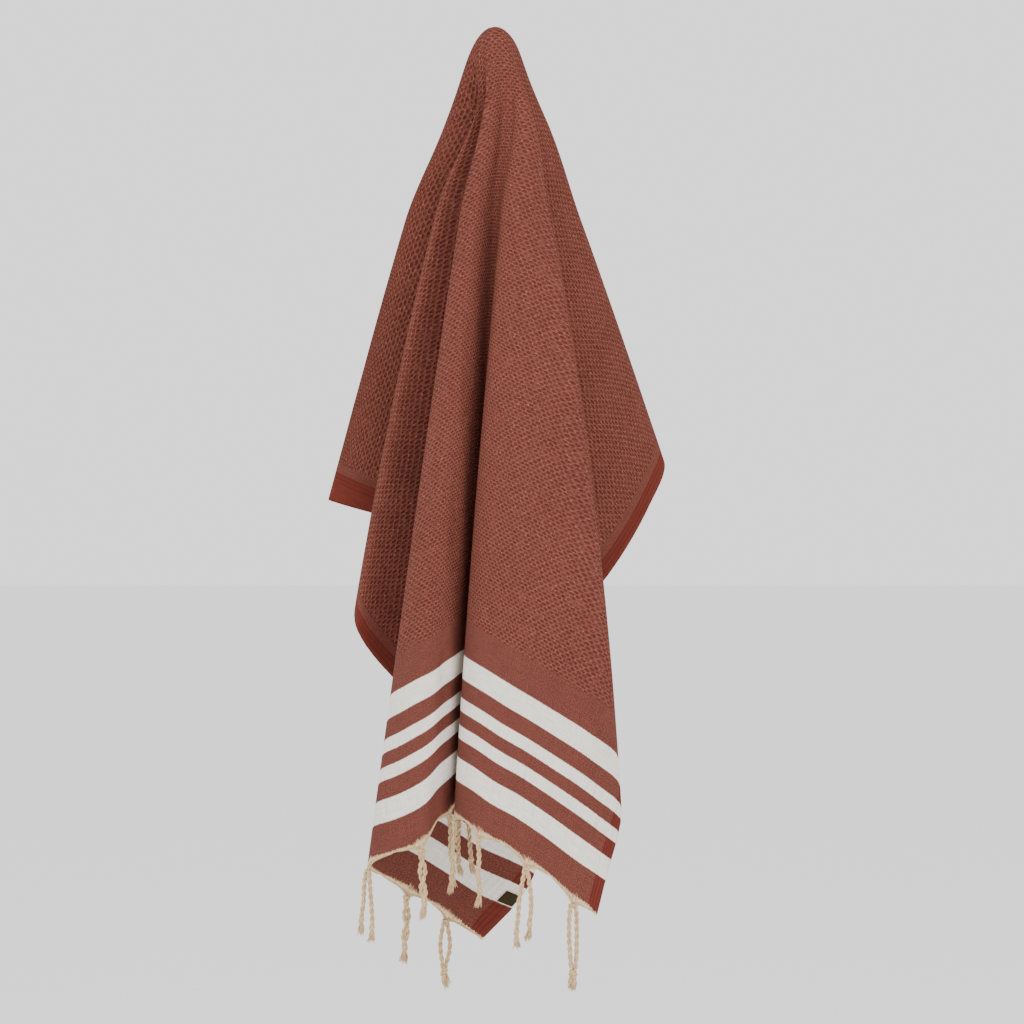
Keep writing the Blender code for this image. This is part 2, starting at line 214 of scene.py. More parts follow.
def fold_at(column, angles):
    """One column of FOLDS at many flat angles, as a smooth closed curve."""
    rows = np.array(FOLDS, float)
    count = len(rows)
    turns, values = rows[:, 0], rows[:, column] / 1000
    low = np.searchsorted(turns, angles, side="right") - 1
    t0, t1, t2, t3 = (turns[(low + k) % count] + 360.0 * ((low + k) // count) for k in (-1, 0, 1, 2))
    p0, p1, p2, p3 = (values[(low + k) % count] for k in (-1, 0, 1, 2))
    before, span, after = t1 - t0, t2 - t1, t3 - t2
    slope_in = ((p2 - p1) / span * before + (p1 - p0) / before * span) / (before + span)
    slope_out = ((p3 - p2) / after * span + (p2 - p1) / span * after) / (span + after)
    s = (angles - t1) / span
    return ((2 * s**3 - 3 * s**2 + 1) * p1 + (s**3 - 2 * s**2 + s) * span * slope_in
            + (3 * s**2 - 2 * s**3) * p2 + (s**3 - s**2) * span * slope_out)


def soft_step(values):
    """A soft step from 0 to 1."""
    values = np.clip(values, 0.0, 1.0)
    return values * values * (3.0 - 2.0 * values)


def fold_lines(angles, drop):
    """Across and depth of the folds at many flat angles (rows) and drops (columns)."""
    levels = np.array([[level**power for power in (0.5, 1.0, 2.0)] for level in FOLD_DROPS])
    across = np.linalg.solve(levels, np.stack([fold_at(k, angles) for k in (1, 2, 3)]))
    ends = np.array([[level**power for power in (0.5, 1.0)] for level in (FOLD_DROPS[0], FOLD_DROPS[2])])
    backs = np.linalg.solve(ends, np.stack([fold_at(k, angles) for k in (4, 5)]))
    root = np.sqrt(drop)
    x = across[0][:, None] * root + across[1][:, None] * drop + across[2][:, None] * drop**2
    y = backs[0][:, None] * root + backs[1][:, None] * drop
    return x, y


def hang_rays(angles):
    """Points down each ray of the drape, and the cloth's length to each point."""
    drop = DEEPEST_DROP * np.linspace(0.0, 1.0, RAY_SAMPLES)**2
    sharp_x, sharp_y = fold_lines(angles, drop)
    front = np.maximum(0.0, np.cos(np.radians(angles - SHARP_ANGLE)))**SHARP_POWER
    width = SOFT_WIDTH + (SHARP_WIDTH - SOFT_WIDTH) * front
    near = [fold_lines((angles + part * width) % 360.0, drop) for part in SOFT_PARTS]
    soft_x, soft_y = np.mean([n[0] for n in near], axis=0), np.mean([n[1] for n in near], axis=0)
    opened = soft_step(drop / (SOFT_DROP + (SHARP_DROP - SOFT_DROP) * front)[:, None])
    share = soft_step(drop / DOME_DROP)
    turn = np.radians(angles)[:, None]
    root = np.sqrt(drop)
    x = share * (opened * sharp_x + (1 - opened) * soft_x) + (1 - share) * DOME_ACROSS * root * np.sin(turn)
    y = share * (opened * sharp_y + (1 - opened) * soft_y) - (1 - share) * DOME_DEPTH * root * np.cos(turn)
    x = x + TOP_LEAN * np.sin(math.pi * np.minimum(drop / TOP_LEAN_DROP, 1.0))**2
    points = np.stack([x, y, np.broadcast_to(-drop, x.shape)], axis=2)
    steps = np.linalg.norm(np.diff(points, axis=1), axis=2)
    lengths = np.concatenate([np.zeros((len(angles), 1)), np.cumsum(steps, axis=1)], axis=1)
    return points, lengths


def ripple(u, v):
    """Small soft waves of the cloth, in metres of depth, that grow away from the top."""
    waves = sum(part * np.sin(u * across + v * along + start)
                for across, along, start, part in RIPPLE_WAVES)
    return RIPPLE_DEPTH * soft_step(np.hypot(u, v) / RIPPLE_FULL_AT) * waves


def end_waves(u, v):
    """How far the cloth near the front hem hangs below its plain place."""
    lower = sum(low * np.exp(-((u - middle) / half)**2) for middle, half, low in FRONT_WAVES)
    return lower * soft_step(1 - (REACH_FRONT - v) / WAVES_REACH)


def hang(u, v):
    """Places in the drape of many flat places."""
    u, v = np.atleast_1d(u).astype(float), np.atleast_1d(v).astype(float)
    lower = v + end_waves(u, v)
    points, lengths = hang_rays(np.degrees(np.arctan2(u, lower)) % 360.0)
    reach = np.hypot(u, lower)
    placed = np.empty((len(u), 3))
    for row in range(len(u)):
        for axis in range(3):
            placed[row, axis] = np.interp(reach[row], lengths[row], points[row, :, axis])
    placed[:, 1] += ripple(u, v)
    return placed


def hem_arcs(u, end):
    """How far the hem is drawn past its straight line, beside and between the knots."""
    cords = FRONT_CORDS if end > 0 else REAR_CORDS
    knots = np.array([-REACH_LEFT] + [row[0] for row in cords] + [REACH_RIGHT])
    index = np.clip(np.searchsorted(knots, u) - 1, 0, len(knots) - 2)
    low, high = knots[index], knots[index + 1]
    share = np.clip((u - low) / (high - low), 0.0, 1.0)
    rise = HEM_ARC_RISE * np.minimum(1.0, (high - low) / HEM_ARC_FULL)
    return HEM_DRAWN_DOWN - rise * (4 * share * (1 - share))**HEM_ARC_POWER


def fray_depth(u, end):
    """How far undyed warp ends show through above the hem."""
    knots = np.array([row[0] for row in (FRONT_CORDS if end > 0 else REAR_CORDS)])
    nearest = np.abs(np.asarray(u)[..., None] - knots).min(axis=-1)
    return FRAY_BETWEEN + (FRAY_AT_KNOTS - FRAY_BETWEEN) * np.exp(-(nearest / FRAY_SPREAD)**2)


def edge_reach(angles):
    """How far the straight-cut cloth reaches at each flat angle."""
    turn = np.radians(angles)
    across, along = np.sin(turn), np.cos(turn)
    to_end = np.where(along > 0, REACH_FRONT, REACH_REAR) / np.maximum(np.abs(along), 1e-9)
    to_side = np.where(across > 0, REACH_RIGHT, REACH_LEFT) / np.maximum(np.abs(across), 1e-9)
    bowed = (across < 0) & (to_side < to_end)
    to_side = to_side + np.where(bowed, EDGE_BOW * np.exp(-(to_side * along / EDGE_BOW_LENGTH)**2), 0.0)
    return np.minimum(to_end, to_side)


def cloth_angles():
    """Flat angles of the rays: closer together where the folds turn, and at the corners."""
    fine = np.arange(0.0, 360.0, FINE_STEP)
    points, lengths = hang_rays(fine)
    reach = edge_reach(fine)
    edge = np.array([[np.interp(far, down, ray[:, axis]) for axis in range(3)]
                     for far, down, ray in zip(reach, lengths, points)])
    path = np.linalg.norm(np.roll(edge, -1, axis=0) - edge, axis=1)
    chord = np.roll(edge, -BEND_STEPS, axis=0) - np.roll(edge, BEND_STEPS, axis=0)
    heading = np.unwrap(np.arctan2(chord[:, 1], chord[:, 0]))
    whole_turns = round((heading[-1] - heading[0]) / (2 * math.pi))
    bend = np.abs(np.diff(heading, append=heading[0] + 2 * math.pi * whole_turns))
    weight = (FINE_STEP * TURN_WEIGHT + path * EDGE_WEIGHT
              + np.minimum(bend, SHARPEST_BEND) * BEND_WEIGHT)
    total = np.concatenate([[0.0], np.cumsum(weight)])
    angles = np.interp(np.linspace(0, total[-1], CLOTH_RAYS + 1)[:-1], total, np.append(fine, 360.0))
    for u in (REACH_RIGHT, -REACH_LEFT):
        for v in (REACH_FRONT, -REACH_REAR):
            corner = math.degrees(math.atan2(u, v)) % 360.0
            angles[np.argmin(np.abs(angles - corner))] = corner
    return np.sort(angles)


def as_object(name, builder):
    """A new object in the scene from a finished bmesh."""
    mesh = bpy.data.meshes.new(name)
    builder.to_mesh(mesh)
    builder.free()
    made = bpy.data.objects.new(name, mesh)
    bpy.context.collection.objects.link(made)
    return made


cloth_turns = cloth_angles()
ring_shares = np.linspace(0.0, 1.0, CLOTH_RINGS + 1)**RING_POWER
ray_edges = edge_reach(cloth_turns)
flat_u = np.sin(np.radians(cloth_turns))[:, None] * ray_edges[:, None] * ring_shares
flat_v = np.cos(np.radians(cloth_turns))[:, None] * ray_edges[:, None] * ring_shares
# The last few centimetres follow the arcs of the hem, whose edge frays near the knots.
fray = np.full(flat_u.shape, NO_FRAY)
for end, limit in ((1, REACH_FRONT), (-1, REACH_REAR)):
    arcs = hem_arcs(flat_u, end)
    near_hem = soft_step(1 - (limit - flat_v * end) / HEM_REACH_IN)
    flat_v += end * near_hem * arcs
    fray = np.minimum(fray, (limit + arcs - flat_v * end) / fray_depth(flat_u, end))
cloth_places = np.stack([hang(flat_u[:, ring], flat_v[:, ring]) for ring in range(CLOTH_RINGS + 1)], axis=1)

cloth_mesh = bmesh.new()
bmesh.ops.create_grid(cloth_mesh, x_segments=CLOTH_RAYS, y_segments=CLOTH_RINGS, size=0.5)
flat_map = cloth_mesh.loops.layers.uv.new("flat")
fray_layer = cloth_mesh.verts.layers.float.new("fray")
for vert in cloth_mesh.verts:
    ray = round((vert.co.x + 0.5) * CLOTH_RAYS)
    ring = round((vert.co.y + 0.5) * CLOTH_RINGS)
    vert.co = cloth_places[ray % CLOTH_RAYS, ring]
    vert[fray_layer] = fray[ray % CLOTH_RAYS, ring]
    for loop in vert.link_loops:
        loop[flat_map].uv = flat_u[ray % CLOTH_RAYS, ring], flat_v[ray % CLOTH_RAYS, ring]
bmesh.ops.remove_doubles(cloth_mesh, verts=cloth_mesh.verts, dist=1e-6)
bmesh.ops.dissolve_degenerate(cloth_mesh, edges=cloth_mesh.edges, dist=1e-7)
bmesh.ops.recalc_face_normals(cloth_mesh, faces=cloth_mesh.faces)
cloth = as_object("towel_sheet", cloth_mesh)
cloth.data.shade_smooth()
skin = cloth.modifiers.new("thickness", "SOLIDIFY")
skin.thickness = CLOTH_THICKNESS
skin.offset = 0.0

# Cloth colours, as the shares of red, green and blue light that they give back.
FIELD_RAISED = (0.174, 0.054, 0.039)
FIELD_SPECK = (0.36, 0.172, 0.132)
# Painted shade: the darker red given to the hollows of the dimples.
FIELD_DIMPLE_SHADE = (0.092, 0.0155, 0.010)
PLAIN_RUST = (0.100, 0.025, 0.018)
PLAIN_SPECK = (0.190, 0.066, 0.050)
SELVEDGE_RED = (0.132, 0.027, 0.019)
SELVEDGE_LINE = (0.085, 0.012, 0.009)
STRIPE_WHITE = (0.82, 0.755, 0.69)
STRIPE_EDGE = (0.42, 0.26, 0.20)
WARP_CREAM = (0.76, 0.55, 0.32)
# Bands from the hem inwards: where each white stripe starts and stops, in metres.
STRIPES = ((0.037, 0.060), (0.079, 0.092), (0.1065, 0.1195), (0.1385, 0.1615))
FIELD_STARTS = 0.1975
SELVEDGE_WIDE = 0.026
SELVEDGE_RED_WIDE = 0.016
SELVEDGE_LINES = (0.0060, 0.0105, 0.0145)
# Dimples: from one to the next across and along, their half sizes, and how far they
# wander, as a share of the pitch.
DIMPLE_PITCH = (0.0080, 0.0070)
DIMPLE_HALF = (0.0030, 0.0013)
DIMPLE_WANDER = (0.46, 0.50)
COTTON_THREADS = 900.0
WEAVE_RELIEF = 0.0014


class Nodes:
    """Short calls that add one shader node each to a tree."""

    def __init__(self, tree):
        self.tree = tree

    def add(self, kind, **settings):
        node = self.tree.nodes.new(kind)
        for name, value in settings.items():
            setattr(node, name, value)
        return node

    def plug(self, socket, value):
        if isinstance(value, bpy.types.NodeSocket):
            self.tree.links.new(value, socket)
        else:
            socket.default_value = value

    def math(self, operation, *values, clamp=False):
        node = self.add("ShaderNodeMath", operation=operation, use_clamp=clamp)
        for socket, value in zip(node.inputs, values):
            self.plug(socket, value)
        return node.outputs[0]

    def vector(self, operation, *values):
        node = self.add("ShaderNodeVectorMath", operation=operation)
        for socket, value in zip(node.inputs, values):
            self.plug(socket, value)
        return node.outputs["Value" if operation in ("DOT_PRODUCT", "LENGTH") else "Vector"]

    def mix(self, share, first, second):
        node = self.add("ShaderNodeMix", data_type="RGBA")
        self.plug(node.inputs[0], share)
        self.plug(node.inputs[6], first if isinstance(first, bpy.types.NodeSocket) else (*first, 1.0))
        self.plug(node.inputs[7], second if isinstance(second, bpy.types.NodeSocket) else (*second, 1.0))
        return node.outputs[2]

    def step(self, value, low, high, first=0.0, second=1.0):
        node = self.add("ShaderNodeMapRange", interpolation_type="SMOOTHSTEP")
        for socket, given in zip(node.inputs, (value, low, high, first, second)):
            self.plug(socket, given)
        return node.outputs[0]

    def noise(self, vector, scale, detail=2.0, roughness=0.5):
        node = self.add("ShaderNodeTexNoise")
        self.plug(node.inputs["Vector"], vector)
        node.inputs["Scale"].default_value = scale
        node.inputs["Detail"].default_value = detail
        node.inputs["Roughness"].default_value = roughness
        return node.outputs["Fac"]

    def bump(self, shader, height, strength, distance):
        node = self.add("ShaderNodeBump")
        node.inputs["Strength"].default_value = strength
        node.inputs["Distance"].default_value = distance
        self.plug(node.inputs["Height"], height)
        self.plug(shader.inputs["Normal"], node.outputs[0])


def group(name, inputs, outputs):
    """A new node group with named sockets, its node helper, and its two ends."""
    tree = bpy.data.node_groups.new(name, "ShaderNodeTree")
    for socket, kind in inputs:
        tree.interface.new_socket(socket, in_out="INPUT", socket_type=kind)
    for socket, kind in outputs:
        tree.interface.new_socket(socket, in_out="OUTPUT", socket_type=kind)
    nodes = Nodes(tree)
    return tree, nodes, nodes.add("NodeGroupInput"), nodes.add("NodeGroupOutput")


def new_material(name):
    """A material with its Principled shader, ready for nodes."""
    made = bpy.data.materials.new(name)
    made.use_nodes = True
    return made, Nodes(made.node_tree), made.node_tree.nodes["Principled BSDF"]


# Honeycomb weave: oval dimples in a staggered lattice, long across the cloth. Scales of
# noise on the flat cloth are in cells per metre.
honeycomb, nodes, given, wanted = group(
    "honeycomb_dimples", [("Flat", "NodeSocketVector")], [("Dimple", "NodeSocketFloat")])
wander = nodes.noise(given.outputs["Flat"], 140.0, 1.0)
drift = nodes.noise(given.outputs["Flat"], 30.0, 2.0)
scaled = nodes.vector("DIVIDE", given.outputs["Flat"], (*DIMPLE_PITCH, 1.0))
jitter = nodes.math("MULTIPLY_ADD", wander, DIMPLE_WANDER[0], -DIMPLE_WANDER[0] / 2)
shifted = nodes.add("ShaderNodeCombineXYZ")
nodes.plug(shifted.inputs[0], jitter)
nodes.plug(shifted.inputs[1], nodes.math("MULTIPLY_ADD", drift, DIMPLE_WANDER[1], -DIMPLE_WANDER[1] / 2))
scaled = nodes.vector("ADD", scaled, shifted.outputs[0])
dimple_scale = (DIMPLE_PITCH[0] / DIMPLE_HALF[0], DIMPLE_PITCH[1] / DIMPLE_HALF[1], 0.0)
ovals = []
for offset in (0.0, 0.5):
    cell = nodes.vector("FRACTION", nodes.vector("ADD", scaled, (offset, offset, 0.0)))
    cell = nodes.vector("SUBTRACT", cell, (0.5, 0.5, 0.0))
    cell = nodes.vector("MULTIPLY", cell, dimple_scale)
    ovals.append(nodes.vector("LENGTH", cell))
nearest = nodes.math("MINIMUM", *ovals)
depth = nodes.step(nodes.noise(given.outputs["Flat"], 95.0, 2.0), 0.25, 0.6, 0.60, 1.0)
nodes.plug(wanted.inputs["Dimple"], nodes.math("MULTIPLY", nodes.step(nearest, 1.22, 0.62), depth))

# Where a flat place lies: its distance from the nearer hem and the nearer selvedge.
bands, nodes, given, wanted = group(
    "towel_bands", [("Flat", "NodeSocketVector")],
    [(socket, "NodeSocketFloat")
     for socket in ("From hem", "From selvedge", "White", "Stripe edge", "Field", "Selvedge line")])
apart = nodes.add("ShaderNodeSeparateXYZ")
nodes.plug(apart.inputs[0], given.outputs["Flat"])
ragged = nodes.math("MULTIPLY_ADD", nodes.noise(given.outputs["Flat"], 420.0, 1.0), 0.0012, -0.0006)
from_hem = nodes.math("MINIMUM", nodes.math("SUBTRACT", REACH_FRONT, apart.outputs[1]),
                      nodes.math("ADD", REACH_REAR, apart.outputs[1]))
from_hem = nodes.math("ADD", from_hem, ragged)
from_side = nodes.math("MINIMUM", nodes.math("SUBTRACT", REACH_RIGHT, apart.outputs[0]),
                       nodes.math("ADD", REACH_LEFT, apart.outputs[0]))
white, rim = 0.0, 0.0
for start, stop in STRIPES:
    middle, half = (start + stop) / 2, (stop - start) / 2
    away = nodes.math("ABSOLUTE", nodes.math("SUBTRACT", from_hem, middle))
    white = nodes.math("ADD", white, nodes.step(away, half + 0.0004, half - 0.0004))
    beside = nodes.math("ABSOLUTE", nodes.math("SUBTRACT", away, half))
    rim = nodes.math("ADD", rim, nodes.step(beside, 0.0010, 0.0002))
line = 0.0
for place in SELVEDGE_LINES:
    beside = nodes.math("ABSOLUTE", nodes.math("SUBTRACT", from_side, place))
    line = nodes.math("ADD", line, nodes.step(beside, 0.0009, 0.0002))
nodes.plug(wanted.inputs["Selvedge line"], line)
nodes.plug(wanted.inputs["From hem"], from_hem)
nodes.plug(wanted.inputs["From selvedge"], from_side)
nodes.plug(wanted.inputs["White"], white)
nodes.plug(wanted.inputs["Stripe edge"], rim)
nodes.plug(wanted.inputs["Field"], nodes.math(
    "MULTIPLY", nodes.step(from_hem, FIELD_STARTS - 0.001, FIELD_STARTS + 0.001),
    nodes.step(from_side, SELVEDGE_WIDE - 0.001, SELVEDGE_WIDE + 0.001)))

# Yarn: fine crossing threads and uneven dye along each of them.
yarn, nodes, given, wanted = group(
    "cotton_yarn", [("Flat", "NodeSocketVector"), ("Threads", "NodeSocketFloat")],
    [("Height", "NodeSocketFloat"), ("Streaks", "NodeSocketFloat")])
heights = []
for stretch in ((1.0, 0.04, 1.0), (0.04, 1.0, 1.0)):
    threads = nodes.vector("SCALE", nodes.vector("MULTIPLY", given.outputs["Flat"], stretch))
    nodes.plug(threads.node.inputs["Scale"], given.outputs["Threads"])
    heights.append(nodes.noise(threads, 1.0, 1.0))
nodes.plug(wanted.inputs["Height"], nodes.math("MAXIMUM", *heights))
nodes.plug(wanted.inputs["Streaks"], nodes.math("ADD", nodes.math("MULTIPLY", heights[0], 0.5),
                                                nodes.math("MULTIPLY", heights[1], 0.5)))

cloth_look, nodes, shader = new_material("rust_cotton_cloth")
flat = nodes.add("ShaderNodeUVMap", uv_map="flat").outputs["UV"]
comb = nodes.add("ShaderNodeGroup", node_tree=honeycomb)
nodes.plug(comb.inputs["Flat"], flat)
band = nodes.add("ShaderNodeGroup", node_tree=bands)
nodes.plug(band.inputs["Flat"], flat)
thread = nodes.add("ShaderNodeGroup", node_tree=yarn)
nodes.plug(thread.inputs["Flat"], flat)
thread.inputs["Threads"].default_value = COTTON_THREADS
cloudy = nodes.noise(flat, 9.0, 3.0)
fleck = nodes.noise(nodes.vector("MULTIPLY", flat, (0.5, 1.0, 1.0)), 620.0, 2.0, 0.7)
dimple = nodes.math("MULTIPLY", comb.outputs["Dimple"], band.outputs["Field"])
field = nodes.mix(nodes.step(fleck, 0.53, 0.80), FIELD_RAISED, FIELD_SPECK)
# Painted shade in the hollows of the dimples, a little less where the cotton flecks.
field = nodes.mix(nodes.math("MULTIPLY", comb.outputs["Dimple"], nodes.step(fleck, 0.7, 0.3, 0.5, 1.0)),
                  field, FIELD_DIMPLE_SHADE)
heather = nodes.noise(nodes.vector("MULTIPLY", flat, (0.7, 1.0, 1.0)), 950.0, 2.0, 0.9)
plain = nodes.mix(nodes.step(heather, 0.38, 0.64), PLAIN_RUST, PLAIN_SPECK)
colour = nodes.mix(band.outputs["Field"], plain, field)
red = nodes.step(band.outputs["From selvedge"], SELVEDGE_RED_WIDE + 0.001, SELVEDGE_RED_WIDE - 0.001)
colour = nodes.mix(red, colour, SELVEDGE_RED)
colour = nodes.mix(nodes.math("MULTIPLY", band.outputs["Stripe edge"], 0.35), colour, STRIPE_EDGE)
colour = nodes.mix(nodes.math("MULTIPLY", band.outputs["Selvedge line"], 0.55), colour, SELVEDGE_LINE)
colour = nodes.mix(band.outputs["White"], colour, STRIPE_WHITE)
frayed = nodes.noise(nodes.vector("MULTIPLY", flat, (1.0, 0.16, 1.0)), 900.0, 2.0, 0.7)
bare = nodes.math("MULTIPLY_ADD", frayed, -2.8, 1.4)
bare = nodes.math("ADD", bare, nodes.add("ShaderNodeAttribute", attribute_name="fray").outputs["Fac"])
bare = nodes.step(bare, 1.0, 0.35)
colour = nodes.mix(bare, colour, WARP_CREAM)
light = nodes.math("ADD", nodes.step(thread.outputs["Streaks"], 0.38, 0.62, 0.89, 1.11),
                   nodes.math("MULTIPLY_ADD", cloudy, 0.20, -0.10))
shade = nodes.add("ShaderNodeVectorMath", operation="SCALE")
nodes.plug(shade.inputs[0], colour)
nodes.plug(shade.inputs["Scale"], light)
nodes.plug(shader.inputs["Base Color"], shade.outputs[0])
relief = nodes.math("ADD", nodes.math("MULTIPLY", dimple, -1.0),
                    nodes.math("MULTIPLY", thread.outputs["Height"], 0.22))
nodes.bump(shader, relief, 0.85, WEAVE_RELIEF)
shader.inputs["Roughness"].default_value = 0.92
shader.inputs["Specular IOR Level"].default_value = 0.08
cloth.data.materials.append(cloth_look)

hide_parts("towel_cloth")
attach(cloth, "root")


# -------------------------------------------------------------------- fringes
# Undyed cotton: at each hem the bare warp ends are drawn together in knots, and under
# each knot hang one or two cords of two twisted plies, each knotted near its end over
# a frayed tuft.
random.seed(7)
# Bare warp ends leave the hem a few millimetres inside both edges, unevenly spaced, and
# hang lower as they run further aside.
WARP_INSET_LEFT = 0.004
WARP_INSET_RIGHT = 0.003
YARN_SPACING = 0.0016
YARN_UNEVEN = 0.0006
YARN_RADIUS = 0.00042
YARN_THIN_RADIUS = 0.0003
YARN_SAG = 0.045
YARN_HIDDEN_START = 0.0006
KNOT_BELOW_HEM = 0.0035
KNOT_HALF_WIDTH = 0.0016
# Cords: two plies each. A pair whose cords hang close is wound round itself, and a pair
# spreads a little further sideways than along the hem.
CORD_POINTS = 56
CORD_ABOVE_KNOT = 0.001
CORD_HEM_STEP = 0.004
CORD_WOBBLE = 0.0005
PLY_RADIUS = 0.00135
PLY_TURN_RADIUS = 0.0012
PLY_PITCH = 0.0150
WOUND_WITHIN = 0.005
PAIR_TURNS = 1.25
PAIR_DEPTH = 0.8
PAIR_SIDEWAYS = 0.8
REAR_LEAN = 0.006
# Knots: the radius and turns of the coil, its fall, and the radius of what is wound.
END_KNOT = (0.0019, 1.35, 0.0030, 0.0014)
HEM_KNOT = (0.0021, 1.3, 0.0036, 0.0013)
HEM_KNOT_TOP = 0.0012
KNOT_SIDES = 7
KNOT_LENGTH = 0.0050
KNOT_BELOW_CORD = 0.0015
KNOT_CORE = (0.0022, -0.0052)
KNOT_CORE_RADII = (0.0018, 0.0022, 0.0024, 0.0024, 0.0021, 0.0017)
# Tufts: frayed yarns that spread and curl, and taper at their ends.
TUFT_LENGTH = 0.0130
TUFT_BELOW_KNOT = 0.0040
TUFT_YARNS = 22
TUFT_ROOT_RADIUS = 0.0011
TUFT_SPREAD = 0.0030
TUFT_CURL = 0.0012
TUFT_SWAY = (0.0035, 0.002)
TUFT_YARN_RADII = (0.00062, 0.00055, 0.00012)
# Cream cotton, in the hollows and on the crests of its fibres, and how those wind round.
CORD_SHADE = (0.46, 0.30, 0.15)
CORD_LIGHT = (0.74, 0.53, 0.30)
FIBRE_WINDING = 850.0
FIBRE_RELIEF = 0.0003


def strand(builder, along_map, points, radii, sides):
    """A round yarn through the points; its map holds the length and the turn round it."""
    points = np.asarray(points)
    radii = np.broadcast_to(radii, (len(points),))
    ahead = np.gradient(points, axis=0)
    ahead /= np.linalg.norm(ahead, axis=1)[:, None]
    reference = np.eye(3)[np.argmin(np.abs(ahead).max(axis=0))]
    side = np.cross(ahead, reference)
    side /= np.linalg.norm(side, axis=1)[:, None]
    other = np.cross(ahead, side)
    gone = np.concatenate([[0.0], np.cumsum(np.linalg.norm(np.diff(points, axis=0), axis=1))])
    turns = [2 * math.pi * k / sides for k in range(sides)]
    rings = [[builder.verts.new(point + radius * (math.cos(turn) * a + math.sin(turn) * b))
              for turn in turns]
             for point, radius, a, b in zip(points, radii, side, other)]
    for k in range(len(rings) - 1):
        for j in range(sides):
            following = (j + 1) % sides
            near, far = rings[k], rings[k + 1]
            face = builder.faces.new((near[j], near[following], far[following], far[j]))
            face.smooth = True
            for loop, (ring, turn) in zip(face.loops, ((k, j), (k, j + 1), (k + 1, j + 1), (k + 1, j))):
                loop[along_map].uv = gone[ring], turn / sides
    builder.faces.new(list(reversed(rings[0])))
    builder.faces.new(rings[-1])


def cord_line(root, length, aside, middle, end, sway, lean, winding):
    """The middle line of one cord from its hem knot to its own knot."""
    share = np.linspace(0.0, 1.0, CORD_POINTS)
    curve = np.polyfit((0.0, 0.5, 1.0), (KNOT_HALF_WIDTH, max(middle, KNOT_HALF_WIDTH), end), 2)
    apart = np.polyval(curve, share)
    turn = winding * 2 * math.pi * share
    across = aside[0] * apart * np.cos(turn)
    depth = aside[1] * apart * np.cos(turn) + abs(apart) * np.sin(turn) * PAIR_DEPTH
    wobble = CORD_WOBBLE * np.sin(share * random.uniform(5, 9) + random.uniform(0, 6))
    x = root[0] + across + sway * share**2 + wobble + lean[0] * soft_step(share * 4)
    y = root[1] + depth + lean[1] * soft_step(share * 4)
    return np.stack([x, y, root[2] - length * share], axis=1)


def twisted(line, phase):
    """Both plies round a cord's middle line."""
    gone = np.concatenate([[0.0], np.cumsum(np.linalg.norm(np.diff(line, axis=0), axis=1))])
    for ply in (0.0, math.pi):
        turn = -2 * math.pi * gone / PLY_PITCH + phase + ply
        yield line + PLY_TURN_RADIUS * np.stack([np.cos(turn), np.sin(turn), 0 * turn], axis=1)


def coil(builder, along_map, place, knot, points, start=0.0, tilt=0.0):
    """What is wound round a cord or a bundle of warp ends to knot it."""
    radius, turns, fall, thickness = knot
    turn = np.linspace(0.0, 2 * math.pi * turns, points) + start
    across, depth = radius * np.cos(turn), radius * np.sin(turn)
    line = np.stack([across, depth, tilt * across - fall * np.linspace(0, 1, points)], axis=1)
    strand(builder, along_map, place + line, thickness, KNOT_SIDES)


def end_knot(builder, along_map, place):
    """The small overhand knot that holds a cord's plies over its tuft."""
    start = random.uniform(0, 6)
    coil(builder, along_map, place, END_KNOT, 22, start, random.uniform(-0.5, 0.5))
    count = len(KNOT_CORE_RADII)
    core = np.stack([np.zeros(count), np.zeros(count), np.linspace(*KNOT_CORE, count)], axis=1)
    strand(builder, along_map, place + core, KNOT_CORE_RADII, 8)


def tuft(builder, along_map, place, length):
    """The frayed yarns under a cord's knot."""
    heading = [random.uniform(-sway, sway) for sway in TUFT_SWAY]
    share = np.linspace(0.0, 1.0, 7)
    radii = np.interp(share, (0, 0.75, 1.0), TUFT_YARN_RADII)
    for _ in range(TUFT_YARNS):
        turn = random.uniform(0, 2 * math.pi)
        spread = math.sqrt(random.uniform(0.02, 1.0))
        own = length * random.uniform(0.72, 1.12)
        reach = spread * (TUFT_ROOT_RADIUS + TUFT_SPREAD * share**1.2)
        curl = random.uniform(-TUFT_CURL, TUFT_CURL)
        x = np.cos(turn) * reach + heading[0] * share**1.5 + curl * np.sin(share * 4.0)
        y = np.sin(turn) * reach + heading[1] * share**1.5 + curl * np.cos(share * 3.0) * share
        line = place + np.stack([x, y, -own * share], axis=1)
        strand(builder, along_map, line, radii, 5)


def bare_warp(builder, along_map, cords, reach, end):
    """Warp ends that run along the hem from where they leave it to the nearest knot."""
    knots = np.array([row[0] for row in cords])
    starts = np.arange(-REACH_LEFT + WARP_INSET_LEFT, REACH_RIGHT - WARP_INSET_RIGHT, YARN_SPACING)
    starts = starts + np.array([random.uniform(-YARN_UNEVEN, YARN_UNEVEN) for _ in starts])
    share = np.linspace(0.0, 1.0, 10)
    radii = np.interp(share, (0, 0.2, 1), (YARN_THIN_RADIUS, YARN_RADIUS, YARN_RADIUS))
    for start in starts:
        aside = random.uniform(-KNOT_HALF_WIDTH, KNOT_HALF_WIDTH)
        knot = knots[np.argmin(np.abs(knots - start))] + aside
        u = start + (knot - start) * share**0.9
        below = 0.0003 + YARN_SAG * np.abs(u - start) + random.uniform(-0.0003, 0.0003)
        below[0] = -YARN_HIDDEN_START
        gathered = HEM_DRAWN_DOWN + KNOT_BELOW_HEM + random.uniform(-0.001, 0.0015)
        closing = share**8
        v = reach + (hem_arcs(u, end) + below) * (1 - closing) + gathered * closing
        line = hang(u, end * v)
        line = line + (random.uniform(-0.0003, 0.0003), random.uniform(-0.0007, 0.0007), 0.0)
        strand(builder, along_map, line, radii, 4)


